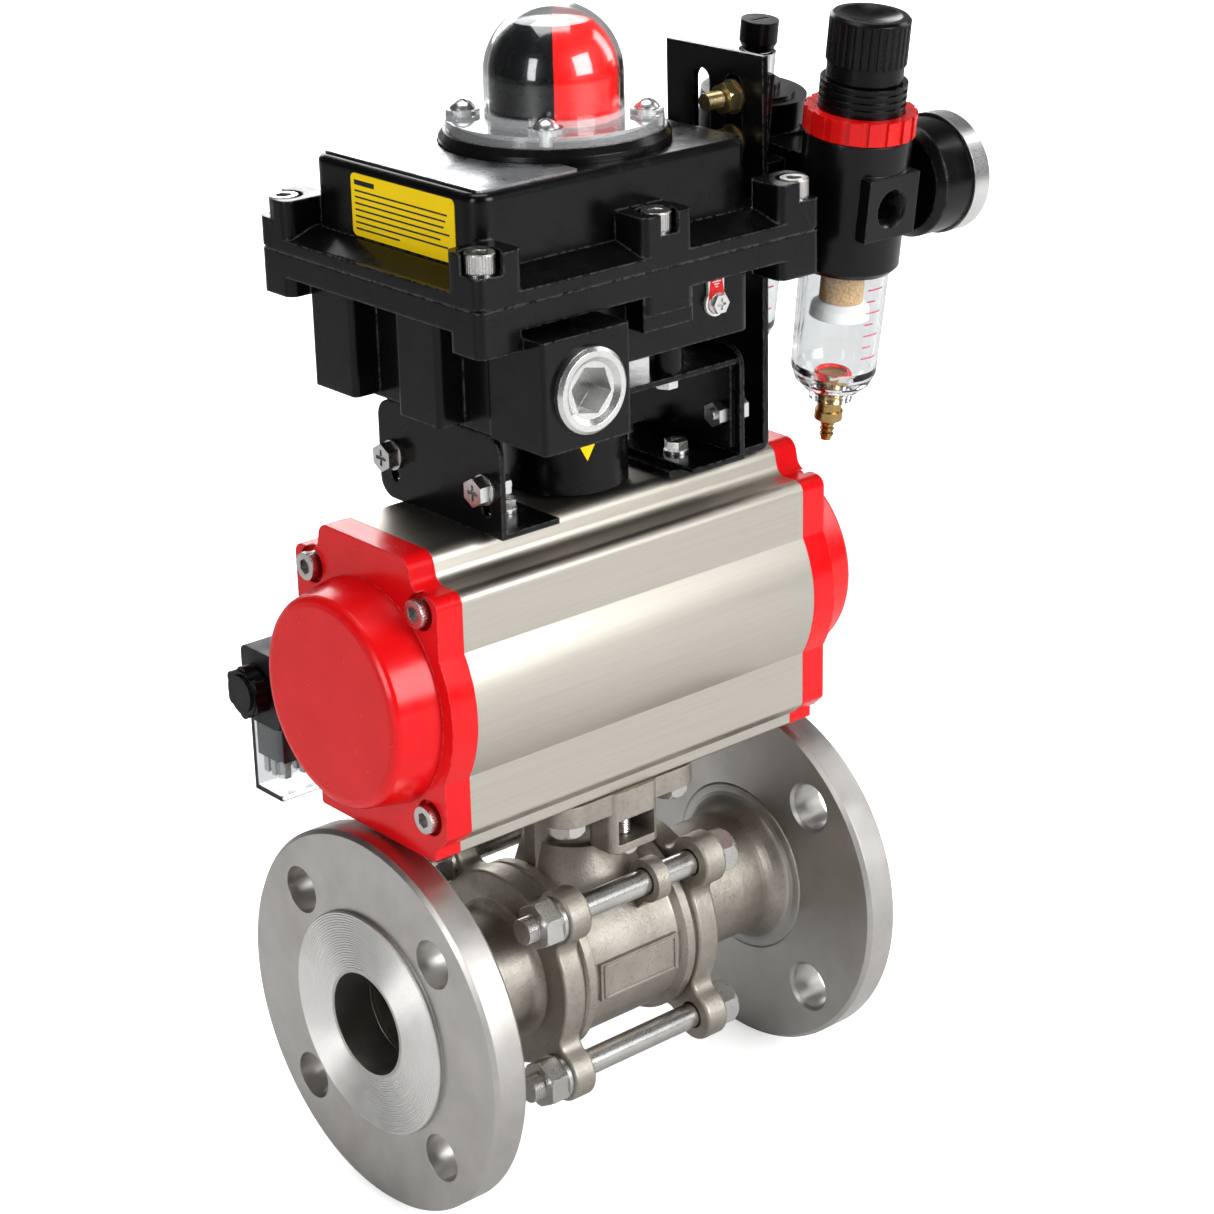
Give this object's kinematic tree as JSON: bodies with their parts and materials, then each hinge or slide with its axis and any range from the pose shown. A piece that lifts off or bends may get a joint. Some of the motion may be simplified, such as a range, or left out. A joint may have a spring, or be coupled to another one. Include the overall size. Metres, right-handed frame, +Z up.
{
  "type": "pneumatic actuated ball valve",
  "caption": "Flanged three-piece ball valve turned by a rack-and-pinion pneumatic actuator, with a switch box, dome indicator, filter-regulator, lubricator and solenoid valve.",
  "frame": {"origin": "centre of the inlet port's mouth, on the pipe axis", "axes": "+X along the pipe from inlet to outlet, +Z up along the stem, -Y towards the side with the conduit plug and pressure regulator"},
  "size_m": [0.2575, 0.1457, 0.4255],
  "materials": {
    "stainless_cast": "sand-cast and machined stainless steel, matte",
    "stainless_polished": "polished stainless steel",
    "ptfe": "white PTFE",
    "bolt_steel": "stainless fasteners, bright",
    "anodised": "satin hard-anodised extruded aluminium",
    "red_paint": "glossy red powder coat",
    "black_paint": "semi-gloss black coat",
    "black_plastic": "moulded black plastic",
    "steel": "turned steel",
    "nickel": "nickel-plated",
    "zinc": "yellow zinc plate",
    "rubber": "black rubber",
    "bearing_plastic": "acetal bearing",
    "red_plastic": "moulded red plastic",
    "clear": "clear polycarbonate",
    "plate_alu": "brushed aluminium label plate, blank",
    "tag": "earthing tag",
    "grey_cast": "black-painted zinc casting",
    "sinter": "porous filter sleeve",
    "brass": "turned brass",
    "coil_plastic": "black encapsulation"
  },
  "bodies": {
    "housing": {"valve_body": "stainless_cast", "inlet_end_cap": "stainless_cast", "outlet_end_cap": "stainless_cast", "valve_seals": "ptfe", "packing_gland": "steel", "body_bolts": "bolt_steel", "inlet_pipe_flange": "stainless_cast", "outlet_pipe_flange": "stainless_cast", "actuator_mount_bolts": "bolt_steel", "actuator_body": "anodised", "end_cap_left": "red_paint", "end_cap_right": "red_paint", "socket_screws": "bolt_steel", "cover_seals": "rubber", "pinion_bearings": "bearing_plastic", "bracket_left": "black_paint", "bracket_right": "black_paint", "bracket_bridge": "black_paint", "cross_screws": "nickel", "box_base": "black_paint", "box_lid": "black_paint", "conduit_plug": "nickel", "earth_tag": "tag", "nameplate": "plate_alu", "dome_ring": "black_plastic", "indicator_dome": "clear", "switch_block": "black_plastic", "air_set_plate": "black_paint", "air_set_bracket": "black_paint", "plate_nuts": "zinc", "regulator_body": "grey_cast", "regulator_bonnet": "black_plastic", "ring_nut": "red_plastic", "filter_bowl": "clear", "filter_element": "sinter", "gauge_case": "black_paint", "gauge_bezel": "nickel", "gauge_lens": "clear", "lubricator_body": "grey_cast", "lubricator_bowl": "clear", "sight_dome": "clear", "solenoid_body": "anodised", "solenoid_coil": "coil_plastic", "coil_nut": "black_plastic", "din_connector": "clear"},
    "drive_train": {"pinion": "steel", "stem": "steel", "ball": "stainless_polished", "position_puck": "black_plastic", "cam_shaft": "nickel", "indicator_black": "black_plastic", "indicator_red": "red_plastic"},
    "left_piston": {"piston_left": "plate_alu"},
    "right_piston": {"piston_right": "plate_alu"},
    "spindle": {"adjusting_screw": "steel"},
    "knob": {"regulator_knob": "black_plastic"},
    "drip_knob": {"oil_knob": "black_plastic"},
    "drain": {"drain_valve": "brass"},
    "needle": {"gauge_needle": "black_plastic"},
    "spool": {"valve_spool": "steel"}
  },
  "joints": [
    {"name": "stem_turn", "type": "hinge", "parent": "housing", "child": "drive_train", "pos_m": [0.1, 0, 0.1278], "axis": [0, 0, 1], "range_deg": [0, 90]},
    {"name": "piston_left_slide", "type": "slide", "parent": "housing", "child": "left_piston", "axis": [-1, 0, 0], "range_m": [0, 0.0284]},
    {"name": "piston_right_slide", "type": "slide", "parent": "housing", "child": "right_piston", "axis": [1, 0, 0], "range_m": [0, 0.0284]},
    {"name": "pressure_screw_turn", "type": "hinge", "parent": "housing", "child": "spindle", "pos_m": [0.201, -0.04772, 0.31646], "axis": [0, -0.1305, 0.9914], "range_deg": [-1080, 1080]},
    {"name": "knob_lift", "type": "slide", "parent": "spindle", "child": "knob", "axis": [0, -0.1305, 0.9914], "range_m": [0, 0.003]},
    {"name": "drip_knob_turn", "type": "hinge", "parent": "housing", "child": "drip_knob", "pos_m": [0.201, 0.0053, 0.32747], "axis": [0, -0.1305, 0.9914], "range_deg": [0, 720]},
    {"name": "drain_push", "type": "slide", "parent": "housing", "child": "drain", "axis": [0, -0.1305, 0.9914], "range_m": [0, 0.002], "stiffness_N_per_m": 300, "springref_m": -0.001},
    {"name": "needle_turn", "type": "hinge", "parent": "housing", "child": "needle", "pos_m": [0.243, -0.0425, 0.2768], "axis": [-1, 0, 0], "range_deg": [0, 270]},
    {"name": "spool_slide", "type": "slide", "parent": "housing", "child": "spool", "axis": [1, 0, 0], "range_m": [0, 0.005]}
  ],
  "couplings": [
    {"joint": "piston_left_slide", "follows": "stem_turn", "m_per_rad": 0.018},
    {"joint": "piston_right_slide", "follows": "stem_turn", "m_per_rad": 0.018}
  ]
}
